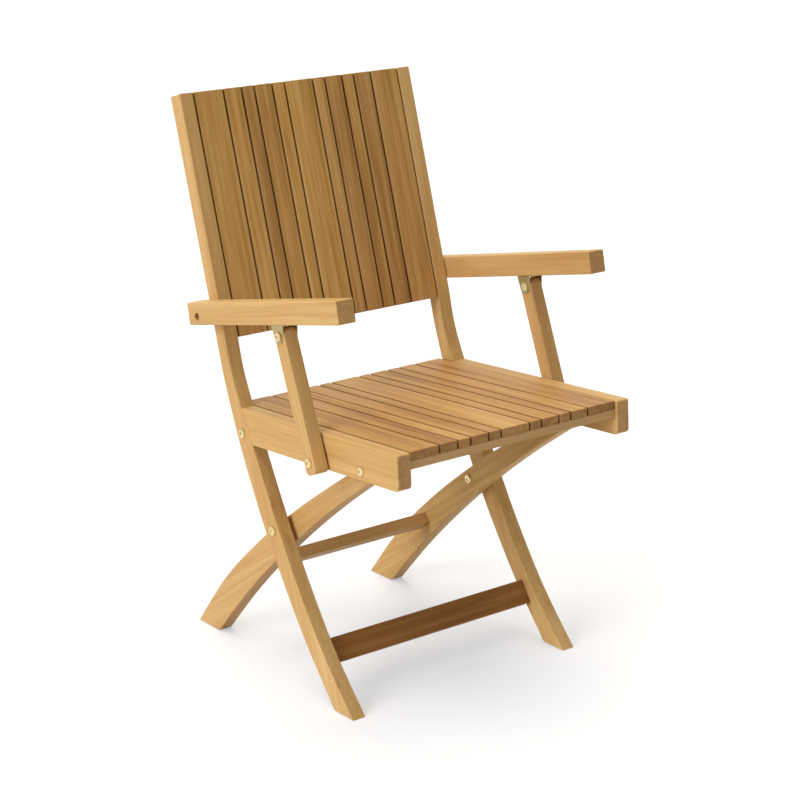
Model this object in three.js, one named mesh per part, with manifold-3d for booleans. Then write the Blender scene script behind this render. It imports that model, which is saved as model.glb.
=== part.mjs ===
// A folding armchair of solid teak with brass bolts, in millimetres.
// +Z is up, the front faces -Y and +X is on the right as the chair is seen from the front.
// The origin lies on the floor, under the middle of the open chair.
// Side views are drawn in the plane of Y and Z, so a Vector2 here holds a Y and a Z.

import * as THREE from 'three';
import { mergeVertices } from 'three/addons/utils/BufferGeometryUtils.js';
import Module from 'manifold-3d';

const wasm = await Module();
wasm.setup();

// Overall sizes
const chairHeight = 914;
const chairDepth = 600;
const frameWidth = 460;

// Boards and clearances
const boardThickness = 25;
const runningGap = 0.3;
const edgeRound = 1.5;
const footRound = 12;
const layerGap = 8;
const strutGap = 3;
const armGap = 1;

// Stiles: the two bent uprights that run from the front feet to the top of the back
const stileTopShare = [0.45, 1];
const stileShoulderShare = [0.227, 0.522];
const stileTopRearShare = [0.494, 0.991];
const stileShoulderRearShare = [0.269, 0.514];
const stileBendShare = [0.263, 0.6];
const stileBendRearShare = [0.306, 0.592];
const stileFrontShares = [[0.138, 0.411], [0.046, 0.301], [-0.054, 0.194], [-0.165, 0.093]];
const stileRearShares = [[-0.092, 0.094], [0.015, 0.192], [0.113, 0.295], [0.198, 0.402]];
const stileToeShare = [-0.293, 0];
const stileHeelShare = [-0.212, 0];

// Rear legs: curved boards that cross the stiles and carry the front of the seat
const legUpperShares = [[0.374, 0.112], [0.216, 0.211], [0.044, 0.302], [-0.135, 0.386]];
const legLowerShares = [[-0.18, 0.363], [-0.021, 0.28], [0.13, 0.192], [0.274, 0.099]];
const legHeelShare = [0.513, 0];
const legToeShare = [0.41, 0];
const legEndRadius = 14;

// Pivots in the side view
const foldPivotShare = [0.188, 0.43];
const legPivotShare = [0.055, 0.275];
const armPivotShare = [0.308, 0.629];
const linkLength = 219.5;
const legTopReach = 93;
const seatSlopeRun = 219;
const seatSlopeRise = 15;

// Seat
const railBelowPivot = 15;
const railAbovePivot = 41;
const railFrontReach = 91;
const railEndRound = 10;
const slatThickness = 14;
const seatSlatSetback = 4;
const seatSlatLength = 434;
const battenThickness = 13;
const battenWidth = 40;
const frontBattenSetback = 1;
const middleBattenReach = 188;
const rearBattenInset = 16;

// Slat pattern across the seat and the back: the slats share the width between the stiles
const wideSlatShare = 53;
const middleSlatShare = 31.5;
const narrowSlatShare = 21;
const slatGap = 3.5;
const slatEdgeGap = 3;

// Back
const backSlatBottom = 64;
const backRailHeight = 50;
const backRailInset = 12;
const backRailGap = 0.4;

// Stretchers
const frontStretcherHeight = 40;
const frontStretcherThickness = 16;
const frontStretcherShare = [-0.126, 0.08];
const frontStretcherLean = 34;
const rearStretcherSize = 20;
const rearStretcherShare = [0.252, 0.157];
const rearStretcherLean = 42;

// Arms and the struts that carry them
const armWidth = 32;
const armHeight = 36;
const armLength = 408;
const armTilt = 12.1;
const armBehindPivot = 25;
const armBelowPivot = 13.5;
const armEndRound = 4;
const strutDepth = 26;
const strutHeadReach = 13;
const strutFootReach = 19;
const strutFootRound = 8;
const strutHeadRound = 12.5;

// Fold links, flat steel bars beside the seat rails
const linkThickness = 4;
const linkDepth = 24;

// Bolts
const pinRadius = 4;
const headRadius = 7.5;
const headHeight = 3.6;
const headRim = 1.2;
const washerRadius = 7.5;
const nutRadius = 7;
const nutHeight = 2.4;
const recessRadius = 6.5;
const recessHeadRadius = 6;
const recessDepth = 8;
const recessHeadHeight = 3;

// Clevis under each arm
const plateThickness = 1.4;
const clevisLength = 30;
const clevisEarReach = 11;

// Layers across the chair, each given by its inner face
const stileInner = frameWidth / 2 - boardThickness;
const stileOuter = frameWidth / 2;
const legOuter = stileInner - layerGap;
const legInner = legOuter - boardThickness;
const strutInner = stileOuter + strutGap;
const strutOuter = strutInner + boardThickness;
const armInner = stileOuter + armGap;
const armOuter = armInner + armWidth;
const linkOuter = stileInner - runningGap;
const linkInner = linkOuter - linkThickness;

// Facets
const boreSides = 16;
const latheSides = 16;
const endSteps = 6;
const filletSteps = 4;
const splineSteps = 3;
const cutOverrun = 2;

const teak = new THREE.MeshStandardMaterial({ color: 0xb98a5a, roughness: 0.62, metalness: 0 });
const brass = new THREE.MeshStandardMaterial({ color: 0xd8b768, roughness: 0.3, metalness: 1 });
const steel = new THREE.MeshStandardMaterial({ color: 0x8f9296, roughness: 0.4, metalness: 1 });

// A place in the side view, from shares of the chair's depth and height
function sidePoint([yShare, zShare]) {
  return new THREE.Vector2(yShare * chairDepth, zShare * chairHeight);
}

// A local frame in the side view: at(s, h) goes s along it and h square to it
class SideFrame {
  constructor(origin, towards) {
    this.origin = origin;
    this.along = towards.clone().normalize();
    this.across = new THREE.Vector2(this.along.y, -this.along.x);
  }

  at(s, h) {
    return this.origin.clone().addScaledVector(this.along, s).addScaledVector(this.across, h);
  }
}

// Pivots
const foldPivot = sidePoint(foldPivotShare);
const legPivot = sidePoint(legPivotShare);
const armPivot = sidePoint(armPivotShare);
const seatFrame = new SideFrame(foldPivot, new THREE.Vector2(-seatSlopeRun, seatSlopeRise));
const strutFoot = seatFrame.at(linkLength, 0);
const legTop = seatFrame.at(linkLength + legTopReach, 0);
const strutHead = armPivot.clone().add(strutFoot).sub(foldPivot);

// A smooth run of points through hand-chosen places
function smooth(points) {
  return new THREE.SplineCurve(points).getPoints(splineSteps * points.length);
}

// A rounded corner between two edges
function fillet(before, corner, after, radius) {
  const toBefore = before.clone().sub(corner).normalize();
  const toAfter = after.clone().sub(corner).normalize();
  const half = Math.acos(toBefore.dot(toAfter)) / 2;
  const reach = radius / Math.tan(half);
  const start = corner.clone().addScaledVector(toBefore, reach);
  const end = corner.clone().addScaledVector(toAfter, reach);
  return new THREE.QuadraticBezierCurve(start, corner, end).getPoints(filletSteps);
}

// A polygon with every corner rounded
function roundedOutline(corners, radii) {
  return corners.flatMap((corner, index) => {
    const before = corners[(index + corners.length - 1) % corners.length];
    const after = corners[(index + 1) % corners.length];
    return radii[index] > 0 ? fillet(before, corner, after, radii[index]) : [corner];
  });
}

// A rectangle in a local frame
function bar(frame, startS, endS, lowH, highH, radius = 0) {
  const corners = [
    frame.at(startS, lowH), frame.at(endS, lowH), frame.at(endS, highH), frame.at(startS, highH),
  ];
  return roundedOutline(corners, corners.map(() => radius));
}

// A half circle that starts at one side of a bar and ends at the other
function roundEnd(centre, radius, outward) {
  const start = Math.atan2(outward.y, outward.x) + Math.PI / 2;
  return Array.from({ length: endSteps + 1 }, (_, step) => {
    const angle = start - (Math.PI * step) / endSteps;
    return new THREE.Vector2(centre.x + radius * Math.cos(angle), centre.y + radius * Math.sin(angle));
  });
}

// A bar with round ends about two points
function roundBar(from, to, radius) {
  const outward = to.clone().sub(from);
  return [...roundEnd(to, radius, outward), ...roundEnd(from, radius, outward.clone().negate())];
}

function boreAt(centre, radius) {
  const points = Array.from({ length: boreSides }, (_, side) => {
    const angle = (2 * Math.PI * side) / boreSides;
    return new THREE.Vector2(centre.x + radius * Math.cos(angle), centre.y + radius * Math.sin(angle));
  });
  return new THREE.Path(points);
}

// Turns a shape's X, Y and extrusion into the chair's Y, Z and X
const sideBasis = new THREE.Matrix4().makeBasis(
  new THREE.Vector3(0, 1, 0),
  new THREE.Vector3(0, 0, 1),
  new THREE.Vector3(1, 0, 0),
);

// A board with a side-view outline, softened edges and bores, centred on X
function boardGeometry(outline, thickness, bores = [], softening = edgeRound) {
  const shape = new THREE.Shape(outline);
  shape.holes = bores.map((centre) => boreAt(centre, pinRadius + runningGap));
  const geometry = new THREE.ExtrudeGeometry(shape, {
    depth: thickness - 2 * softening,
    bevelEnabled: softening > 0,
    bevelSize: softening,
    bevelThickness: softening,
    bevelOffset: -softening,
    bevelSegments: 1,
  });
  geometry.translate(0, 0, softening - thickness / 2);
  return geometry.applyMatrix4(sideBasis);
}

function toSolid(geometry) {
  const bare = geometry.clone();
  bare.deleteAttribute('normal');
  bare.deleteAttribute('uv');
  const merged = mergeVertices(bare);
  return new wasm.Manifold(new wasm.Mesh({
    numProp: 3,
    vertProperties: new Float32Array(merged.attributes.position.array),
    triVerts: new Uint32Array(merged.index.array),
  }));
}

function toGeometry(solid) {
  const mesh = solid.getMesh();
  const geometry = new THREE.BufferGeometry();
  geometry.setAttribute('position', new THREE.BufferAttribute(new Float32Array(mesh.vertProperties), 3));
  geometry.setIndex(new THREE.BufferAttribute(new Uint32Array(mesh.triVerts), 1));
  geometry.computeVertexNormals();
  return geometry;
}

function piece(name, geometry, material, x = 0) {
  const mesh = new THREE.Mesh(geometry, material);
  mesh.name = name;
  mesh.position.x = x;
  return mesh;
}

// The same board on both sides of the chair, between two X places on the right
function pair(name, geometry, material, inner, outer) {
  const middle = (inner + outer) / 2;
  return [
    piece(`${name}_left`, geometry, material, -middle),
    piece(`${name}_right`, geometry, material, middle),
  ];
}

// The stiles' front faces, which the back and the seat rails meet
const stileTop = sidePoint(stileTopShare);
const stileShoulder = sidePoint(stileShoulderShare);
const stileFrontCurve = smooth([
  sidePoint(stileBendShare), stileShoulder, ...stileFrontShares.map(sidePoint), sidePoint(stileToeShare),
]);

function stileOutline() {
  const heel = sidePoint(stileHeelShare);
  const toe = stileFrontCurve[stileFrontCurve.length - 1];
  const rearCurve = smooth([
    heel, ...stileRearShares.map(sidePoint),
    sidePoint(stileShoulderRearShare), sidePoint(stileBendRearShare),
  ]);
  return [
    stileTop,
    ...stileFrontCurve,
    ...fillet(toe, heel, rearCurve[1], footRound),
    ...rearCurve.slice(1),
    sidePoint(stileTopRearShare),
  ];
}

// The Y of the stiles' front face at a height
function stileFrontAt(z) {
  const below = stileFrontCurve.findIndex((point) => point.y < z);
  const low = stileFrontCurve[below];
  const high = stileFrontCurve[below - 1];
  return low.x + ((high.x - low.x) * (z - low.y)) / (high.y - low.y);
}

function makeStiles() {
  const geometry = boardGeometry(stileOutline(), boardThickness, [foldPivot, legPivot, armPivot]);
  return pair('stile', geometry, teak, stileInner, stileOuter);
}

// Slats, near to far, the same pattern for the seat and the back
const slatShares = [
  wideSlatShare, middleSlatShare, narrowSlatShare, middleSlatShare, narrowSlatShare, wideSlatShare,
  narrowSlatShare, middleSlatShare, narrowSlatShare, middleSlatShare, wideSlatShare,
];

function makeSlats(name, outline) {
  const shareTotal = slatShares.reduce((sum, share) => sum + share, 0);
  const slatRoom = 2 * (stileInner - slatEdgeGap) - slatGap * (slatShares.length - 1);
  let edge = slatEdgeGap - stileInner;
  return slatShares.map((share, index) => {
    const width = (slatRoom * share) / shareTotal;
    const middle = edge + width / 2;
    edge += width + slatGap;
    const number = String(index + 1).padStart(2, '0');
    return piece(`${name}_${number}`, boardGeometry(outline, width), teak, middle);
  });
}

// Back: slats flush with the stiles' front faces, screwed to two rails between the stiles
const backFrame = new SideFrame(stileShoulder, stileTop.clone().sub(stileShoulder));
const backTop = stileTop.distanceTo(stileShoulder);

function makeBackRail(name, start) {
  const front = slatThickness + backRailGap;
  const rear = slatThickness + battenThickness;
  const outline = bar(backFrame, start, start + backRailHeight, front, rear);
  return piece(name, boardGeometry(outline, 2 * (stileInner - runningGap)), teak);
}

function makeBack() {
  const outline = bar(backFrame, backSlatBottom, backTop, 0, slatThickness);
  return [
    makeBackRail('back_rail_top', backTop - backRailInset - backRailHeight),
    makeBackRail('back_rail_bottom', backSlatBottom + backRailInset),
    ...makeSlats('back_slat', outline),
  ];
}

// A stretcher that leans with the legs it joins
function makeStretcher(name, share, lean, height, thickness, inner) {
  const angle = THREE.MathUtils.degToRad(lean);
  const frame = new SideFrame(sidePoint(share), new THREE.Vector2(Math.sin(angle), Math.cos(angle)));
  const outline = bar(frame, -height / 2, height / 2, -thickness / 2, thickness / 2);
  return piece(name, boardGeometry(outline, 2 * (inner - runningGap)), teak);
}

// Seat rails, which butt against the stiles' front faces
const railEnd = linkLength + legTopReach + railFrontReach;

// The point where a line of the seat meets the stiles, found by a few steps along it
function railMeetsStile(h) {
  let point = seatFrame.at(0, h);
  for (let step = 0; step < endSteps; step += 1) {
    const gap = point.x - (stileFrontAt(point.y) - backRailGap);
    point = seatFrame.at(point.clone().sub(foldPivot).dot(seatFrame.along) + gap, h);
  }
  return point;
}

function railOutline() {
  const backFace = Array.from({ length: filletSteps + 1 }, (_, step) => {
    const share = step / filletSteps;
    return railMeetsStile(railAbovePivot - (railAbovePivot + railBelowPivot) * share);
  });
  const bottomFront = seatFrame.at(railEnd, -railBelowPivot);
  const topFront = seatFrame.at(railEnd, railAbovePivot);
  return [
    ...backFace,
    ...fillet(backFace[backFace.length - 1], bottomFront, topFront, railEndRound),
    ...fillet(bottomFront, topFront, backFace[0], railEndRound / 2),
  ];
}

// A cross board under the seat slats
function makeBatten(name, start) {
  const top = railAbovePivot - slatThickness - runningGap;
  const outline = bar(seatFrame, start, start + battenWidth, top - battenThickness + runningGap, top);
  return piece(name, boardGeometry(outline, 2 * (stileInner - runningGap)), teak);
}

function makeSeat() {
  const slatFront = railEnd - seatSlatSetback;
  const slatRear = slatFront - seatSlatLength;
  const slats = bar(seatFrame, slatRear, slatFront, railAbovePivot - slatThickness, railAbovePivot);
  const rail = boardGeometry(railOutline(), boardThickness, [strutFoot, legTop]);
  return [
    ...pair('seat_rail', rail, teak, stileInner, stileOuter),
    makeBatten('seat_batten_front', slatFront - frontBattenSetback - battenWidth),
    makeBatten('seat_batten_middle', middleBattenReach),
    makeBatten('seat_batten_rear', slatRear + rearBattenInset),
    ...makeSlats('seat_slat', slats),
  ];
}

// Rear legs
function legOutline() {
  const upper = legUpperShares.map(sidePoint);
  const lower = legLowerShares.map(sidePoint);
  const heel = sidePoint(legHeelShare);
  const toe = sidePoint(legToeShare);
  const outward = legTop.clone().sub(lower[0].clone().add(upper[upper.length - 1]).multiplyScalar(1 / 2));
  const end = roundEnd(legTop, legEndRadius, outward).reverse();
  const lowerCurve = smooth([end[end.length - 1], ...lower, toe]);
  return [
    ...smooth([heel, ...upper, end[0]]),
    ...end.slice(1, -1),
    ...lowerCurve.slice(0, -1),
    ...fillet(lowerCurve[lowerCurve.length - 2], toe, heel, footRound),
  ];
}

function makeRearLegs() {
  const geometry = boardGeometry(legOutline(), boardThickness, [legPivot, legTop]);
  return pair('rear_leg', geometry, teak, legInner, legOuter);
}

// Fold links
function makeLinks() {
  const outline = roundBar(foldPivot, strutFoot, linkDepth / 2);
  const geometry = boardGeometry(outline, linkThickness, [foldPivot, strutFoot], runningGap);
  return pair('fold_link', geometry, steel, linkInner, linkOuter);
}

// Arms
const armTurn = THREE.MathUtils.degToRad(armTilt);
const armFrame = new SideFrame(armPivot, new THREE.Vector2(-Math.cos(armTurn), Math.sin(armTurn)));

function cylinderAlongX(radius, from, to) {
  const geometry = new THREE.CylinderGeometry(radius, radius, to - from, latheSides);
  geometry.rotateZ(Math.PI / 2);
  return geometry.translate((from + to) / 2, 0, 0);
}

// One arm, with a recess for its bolt's head in the outer face; side is 1 on the right and -1 on the left
function makeArm(name, side) {
  const outline = bar(armFrame, -armBehindPivot, armLength - armBehindPivot, -armBelowPivot,
    armHeight - armBelowPivot, armEndRound);
  const board = toSolid(boardGeometry(outline, armWidth, [armPivot]));
  const floor = armWidth / 2 - recessDepth;
  const recess = cylinderAlongX(recessRadius, floor, armWidth / 2 + cutOverrun);
  recess.rotateZ(side > 0 ? 0 : Math.PI);
  recess.translate(0, armPivot.x, armPivot.y);
  return piece(name, toGeometry(board.subtract(toSolid(recess))), teak, (side * (armInner + armOuter)) / 2);
}

// A bent brass plate with two ears that hold the strut's head
function clevisGeometry() {
  const frame = new SideFrame(strutHead, armFrame.along);
  const underArm = armFrame.at(0, -armBelowPivot).sub(strutHead).dot(armFrame.across) - runningGap;
  const corners = (low, high, half) => [
    frame.at(-half, high), frame.at(half, high), frame.at(half, low), frame.at(-half, low),
  ];
  const half = clevisLength / 2;
  const ears = corners(-clevisEarReach, underArm, half);
  const earOutline = roundedOutline(ears, [0, 0, clevisEarReach, clevisEarReach]);
  const outerWidth = strutOuter - strutInner + 2 * (plateThickness + runningGap);
  const slotWidth = outerWidth - 2 * plateThickness;
  const slotOutline = corners(-clevisEarReach - cutOverrun, underArm - plateThickness, half + cutOverrun);
  const plate = toSolid(boardGeometry(earOutline, outerWidth, [strutHead], 0));
  const slot = toSolid(boardGeometry(slotOutline, slotWidth, [], 0));
  return toGeometry(plate.subtract(slot));
}

function makeArms() {
  return [
    makeArm('arm_left', -1),
    makeArm('arm_right', 1),
    ...pair('arm_bracket', clevisGeometry(), brass, strutInner, strutOuter),
  ];
}

function makeStruts() {
  const frame = new SideFrame(strutFoot, strutHead.clone().sub(strutFoot));
  const top = strutFoot.distanceTo(strutHead) + strutHeadReach;
  const corners = bar(frame, -strutFootReach, top, -strutDepth / 2, strutDepth / 2);
  const outline = roundedOutline(corners, [strutFootRound, strutHeadRound, strutHeadRound, strutFootRound]);
  const geometry = boardGeometry(outline, boardThickness, [strutFoot, strutHead]);
  return pair('strut', geometry, teak, strutInner, strutOuter);
}

// The profile of a domed bolt head that sits on a face and rises outward from it
function domedHead(face) {
  const dome = Array.from({ length: endSteps / 2 + 1 }, (_, step) => {
    const angle = (Math.PI / 2) * (step / (endSteps / 2));
    const rise = headRim + (headHeight - headRim) * Math.sin(angle);
    return new THREE.Vector2(headRadius * Math.cos(angle), face + rise);
  });
  return [new THREE.Vector2(pinRadius, face), new THREE.Vector2(headRadius, face), ...dome];
}

// A plain disc on the shank between two places
function disc(from, to, radius) {
  return [
    new THREE.Vector2(pinRadius, from), new THREE.Vector2(radius, from),
    new THREE.Vector2(radius, to), new THREE.Vector2(pinRadius, to),
  ];
}

// A bolt turned from a profile of radius against X, with its last point on the axis
function boltPair(name, pivot, profile) {
  const axisPoint = (x) => new THREE.Vector2(0, x);
  const first = profile[0].y;
  const last = profile[profile.length - 1].y;
  const points = [axisPoint(first), ...profile, axisPoint(last)];
  const clean = points.filter((p, index) => index === 0 || !p.equals(points[index - 1]));
  const geometry = new THREE.LatheGeometry(clean, latheSides);
  geometry.rotateZ(-Math.PI / 2);
  return [-1, 1].map((side) => {
    const bolt = piece(`${name}_${side > 0 ? 'right' : 'left'}`, geometry, brass);
    bolt.position.set(0, pivot.x, pivot.y);
    bolt.rotation.x = side > 0 ? 0 : Math.PI;
    bolt.rotation.y = side > 0 ? 0 : Math.PI;
    return bolt;
  });
}

function nutProfile(face) {
  return [
    new THREE.Vector2(nutRadius, face - nutHeight),
    new THREE.Vector2(nutRadius, face),
    new THREE.Vector2(pinRadius, face),
  ];
}

// Bolts carried by the stiles: at the fold links, at the crossing of the legs and at the arms
function makeFrameBolts() {
  const outerFace = stileOuter + runningGap;
  const innerFace = legInner - runningGap;
  const innerHead = domedHead(0).reverse().map((p) => new THREE.Vector2(p.x, innerFace - p.y));
  const armHeadFloor = armOuter - recessDepth + runningGap;
  return [
    ...boltPair('fold_bolt', foldPivot, [...nutProfile(linkInner - runningGap), ...domedHead(outerFace)]),
    ...boltPair('leg_bolt', legPivot, [
      ...innerHead,
      ...disc(legOuter + runningGap, stileInner - runningGap, washerRadius),
      ...domedHead(outerFace),
    ]),
    ...boltPair('arm_bolt', armPivot, [
      new THREE.Vector2(pinRadius, stileInner + runningGap),
      ...disc(armHeadFloor, armHeadFloor + recessHeadHeight, recessHeadRadius).slice(0, -1),
    ]),
  ];
}

// Bolts carried by the seat rails: at the struts' feet and at the tops of the rear legs
function makeSeatBolts() {
  const outerFace = stileOuter + runningGap;
  const collarEnd = legOuter + armGap;
  return [
    ...boltPair('strut_bolt', strutFoot, [
      ...nutProfile(linkInner - runningGap),
      ...disc(outerFace, strutInner - runningGap, washerRadius),
      ...domedHead(strutOuter + runningGap),
    ]),
    ...boltPair('seat_bolt', legTop, [
      ...disc(collarEnd, stileInner - runningGap, washerRadius).slice(1),
      ...domedHead(outerFace),
    ]),
  ];
}

// Bolts that hold the struts in the clevises
function makeArmBolts() {
  const innerFace = strutInner - 2 * runningGap - plateThickness;
  const outerFace = strutOuter + 2 * runningGap + plateThickness;
  return boltPair('clevis_bolt', strutHead, [
    new THREE.Vector2(nutRadius, innerFace - runningGap),
    new THREE.Vector2(nutRadius, innerFace),
    new THREE.Vector2(pinRadius, innerFace),
    ...domedHead(outerFace),
  ]);
}

function group(pieces) {
  const holder = new THREE.Group();
  holder.add(...pieces);
  return holder;
}

function makeFrame() {
  return group([
    ...makeStiles(),
    ...makeBack(),
    makeStretcher('front_stretcher', frontStretcherShare, frontStretcherLean, frontStretcherHeight,
      frontStretcherThickness, stileInner),
    ...makeFrameBolts(),
  ]);
}

function makeRearFrame() {
  return group([
    ...makeRearLegs(),
    makeStretcher('rear_stretcher', rearStretcherShare, rearStretcherLean, rearStretcherSize,
      rearStretcherSize, legInner),
  ]);
}

// The whole chair, moved along Y so that the origin lies under its middle
function makeChair() {
  const chair = new THREE.Group();
  chair.add(
    makeFrame(),
    group([...makeSeat(), ...makeSeatBolts()]),
    group(makeLinks()),
    makeRearFrame(),
    group([...makeArms(), ...makeArmBolts()]),
    group(makeStruts()),
  );
  const box = new THREE.Box3().setFromObject(chair);
  chair.position.y = -(box.min.y + box.max.y) / 2;
  return chair;
}

export default makeChair();
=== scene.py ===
"""Dresses a folding teak armchair with brass bolts, lights it and sets the camera.

Every length is in metres, +Z is up and the front faces -Y. Side views are drawn in the
plane of Y and Z, so a point of an outline is a pair (y, z).
"""

import logging
import math
from dataclasses import dataclass
from enum import Enum

import bmesh
import bpy
from mathutils import Matrix, Vector


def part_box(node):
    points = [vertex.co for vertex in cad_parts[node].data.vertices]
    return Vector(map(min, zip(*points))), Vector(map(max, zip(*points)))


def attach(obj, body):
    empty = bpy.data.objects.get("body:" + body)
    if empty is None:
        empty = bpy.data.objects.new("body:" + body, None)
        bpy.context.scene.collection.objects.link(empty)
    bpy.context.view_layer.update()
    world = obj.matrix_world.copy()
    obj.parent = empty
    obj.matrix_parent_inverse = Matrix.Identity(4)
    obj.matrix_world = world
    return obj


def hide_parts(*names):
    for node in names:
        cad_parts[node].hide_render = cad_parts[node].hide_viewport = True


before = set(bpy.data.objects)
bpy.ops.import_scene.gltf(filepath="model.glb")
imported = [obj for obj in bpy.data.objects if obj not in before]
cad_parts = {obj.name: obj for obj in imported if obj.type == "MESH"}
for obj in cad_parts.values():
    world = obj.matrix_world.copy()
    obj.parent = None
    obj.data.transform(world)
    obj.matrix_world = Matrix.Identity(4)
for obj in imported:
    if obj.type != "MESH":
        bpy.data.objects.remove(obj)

logging.basicConfig(level=logging.INFO, format="%(message)s")
log = logging.getLogger("armchair")

MM = 0.001
Point = tuple[float, float]
Pair = tuple[float, float]
Triple = tuple[float, float, float]
Rgba = tuple[float, float, float, float]
Stops = list[tuple[float, Triple]]
BMesh = bmesh.types.BMesh
Material = bpy.types.Material
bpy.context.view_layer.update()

# Overall sizes of the side view, and the shift that puts its middle at Y = 0
CHAIR_HEIGHT = 914 * MM
CHAIR_DEPTH = 600 * MM
HEEL_SHARE = 0.513
SIDE_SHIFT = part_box("rear_leg_left")[1][1] - HEEL_SHARE * CHAIR_DEPTH

# Clearance between pieces that touch or turn on each other
GAP = 0.3 * MM

# Roundings of the boards' edges and feet
EDGE_ROUND = 1.8 * MM
SLAT_ROUND = 1.2 * MM
FOOT_ROUND = 12 * MM
EDGE_SEGMENTS = 3

# Edges that turn by more than this stay sharp
SHARP_ANGLE = math.radians(50)

# How dark the painted shade on the slats' sides is, where they face the gaps between them, and how dark the
# end grain is, against a board's faces
GAP_SHADE_TONE = 0.55
END_TONE = 0.8

# The least cosine between a face's normal and a direction that it counts as facing
FLATNESS = 0.85

# Where along its log each board is cut, so that neighbours show different grain
LETTER_WEIGHT = 3
LOG_PLACES = 97
LOG_PLACES_PER_METRE = 7.0
LOG_SLANT = 9

# Points on each stretch of a smooth curve, on a rounding, and those a foot's rounding takes up
SPLINE_STEPS = 9
ARC_STEPS = 14
FOOT_STEPS = SPLINE_STEPS // 3

# How many slats the seat has, and the back
SLAT_COUNT = 11

# The six-sided socket of a bolt's head, from its middle to its corners
SOCKET_RADIUS = 2.6 * MM


class Side(Enum):
    """The two sides of the chair, with the sign of X on each."""

    LEFT = -1
    RIGHT = 1

    @property
    def word(self) -> str:
        """The word that ends the names of this side's pieces."""
        return self.name.lower()


def side_point(share: Point) -> Point:
    """Places a share of the chair's depth and height in the side view."""
    return share[0] * CHAIR_DEPTH + SIDE_SHIFT, share[1] * CHAIR_HEIGHT


def curve_between(a: float, b: float, c: float, d: float, t: float) -> float:
    """One coordinate of a smooth curve from b to c.

    Args:
        a: the coordinate of the point before b.
        b: the coordinate where the curve starts.
        c: the coordinate where it ends.
        d: the coordinate of the point after c.
        t: how far along the curve, from 0 to 1.

    Returns:
        The coordinate at t.
    """
    ahead, behind = (c - a) / 2, (d - b) / 2
    cubic = (2 * (b - c) + ahead + behind) * t**3
    return cubic + (3 * (c - b) - 2 * ahead - behind) * t**2 + ahead * t + b


def smooth(points: list[Point]) -> list[Point]:
    """Runs a smooth curve through given points.

    Args:
        points: the places that the curve passes through.

    Returns:
        Closely spaced points along it.
    """
    run = []
    for index in range(len(points) - 1):
        a = points[max(index - 1, 0)]
        b, c = points[index], points[index + 1]
        d = points[min(index + 2, len(points) - 1)]
        for step in range(SPLINE_STEPS):
            t = step / SPLINE_STEPS
            run.append(tuple(curve_between(a[k], b[k], c[k], d[k], t) for k in range(2)))
    return [*run, points[-1]]


def fillet(before: Point, corner: Point, after: Point, radius: float) -> list[Point]:
    """Rounds a corner between two edges.

    Args:
        before: a point on the edge that comes in.
        corner: the sharp corner.
        after: a point on the edge that goes out.
        radius: the rounding's radius.

    Returns:
        Points along the rounding.
    """
    here = Vector(corner)
    back = (Vector(before) - here).normalized()
    ahead = (Vector(after) - here).normalized()
    reach = radius / math.tan(back.angle(ahead) / 2)
    start, end = here + back * reach, here + ahead * reach
    points = []
    for step in range(ARC_STEPS + 1):
        t = step / ARC_STEPS
        point = start * (1 - t) ** 2 + here * (2 * t * (1 - t)) + end * t**2
        points.append((point.x, point.y))
    return points


def round_end(centre: Point, radius: float, outward: Vector) -> list[Point]:
    """A half circle that closes the end of a bar.

    Args:
        centre: the half circle's centre.
        radius: its radius.
        outward: the direction in which the bar ends.

    Returns:
        Points from one side of the bar to the other.
    """
    start = math.atan2(outward.y, outward.x) + math.pi / 2
    angles = [start - math.pi * step / ARC_STEPS for step in range(ARC_STEPS + 1)]
    return [(centre[0] + radius * math.cos(a), centre[1] + radius * math.sin(a)) for a in angles]


@dataclass(frozen=True)
class SideFrame:
    """A local frame in the side view, with s along it and h square to it."""

    origin: Point
    along: Vector

    @property
    def across(self) -> Vector:
        """The direction square to the frame."""
        return Vector((self.along.y, -self.along.x))

    def at(self, s: float, h: float) -> Point:
        """Goes s along the frame and h square to it."""
        point = Vector(self.origin) + self.along * s + self.across * h
        return point.x, point.y

    def local(self, point: Point) -> Point:
        """The s and h of a place."""
        offset = Vector(point) - Vector(self.origin)
        return offset.dot(self.along), offset.dot(self.across)

    def bar(self, start: float, end: float, low: float, high: float, radius: float = 0) -> list[Point]:
        """A rectangle in this frame, with its corners rounded where a radius is given.

        Args:
            start: the s where it starts.
            end: the s where it ends.
            low: the h of one long side.
            high: the h of the other.
            radius: the corners' radius.

        Returns:
            Its outline.
        """
        corners = [self.at(start, low), self.at(end, low), self.at(end, high), self.at(start, high)]
        if radius <= 0:
            return corners
        return rounded(corners, [radius] * len(corners))


def rounded(corners: list[Point], radii: list[float]) -> list[Point]:
    """Rounds every corner of an outline.

    Args:
        corners: the sharp corners, in order.
        radii: the radius of each.

    Returns:
        The rounded outline.
    """
    outline = []
    for k, radius in enumerate(radii):
        outline += fillet(corners[k - 1], corners[k], corners[(k + 1) % len(corners)], radius)
    return outline


# Pivots and local frames of the side view
FOLD_PIVOT = side_point((0.188, 0.43))
LEG_PIVOT = side_point((0.055, 0.275))
ARM_PIVOT = side_point((0.308, 0.629))
LINK_LENGTH = 219.5 * MM
LEG_TOP_REACH = 93 * MM
SEAT_RUN = 219 * MM
SEAT_RISE = 15 * MM
SEAT = SideFrame(FOLD_PIVOT, Vector((-SEAT_RUN, SEAT_RISE)).normalized())
STRUT_FOOT = SEAT.at(LINK_LENGTH, 0)
LEG_TOP = SEAT.at(LINK_LENGTH + LEG_TOP_REACH, 0)
STRUT_HEAD = tuple(ARM_PIVOT[k] + STRUT_FOOT[k] - FOLD_PIVOT[k] for k in range(2))
ARM_TILT = math.radians(12.1)
ARM = SideFrame(ARM_PIVOT, Vector((-math.cos(ARM_TILT), math.sin(ARM_TILT))))
STILE_TOP = side_point((0.45, 1))
STILE_SHOULDER = side_point((0.227, 0.522))
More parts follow.
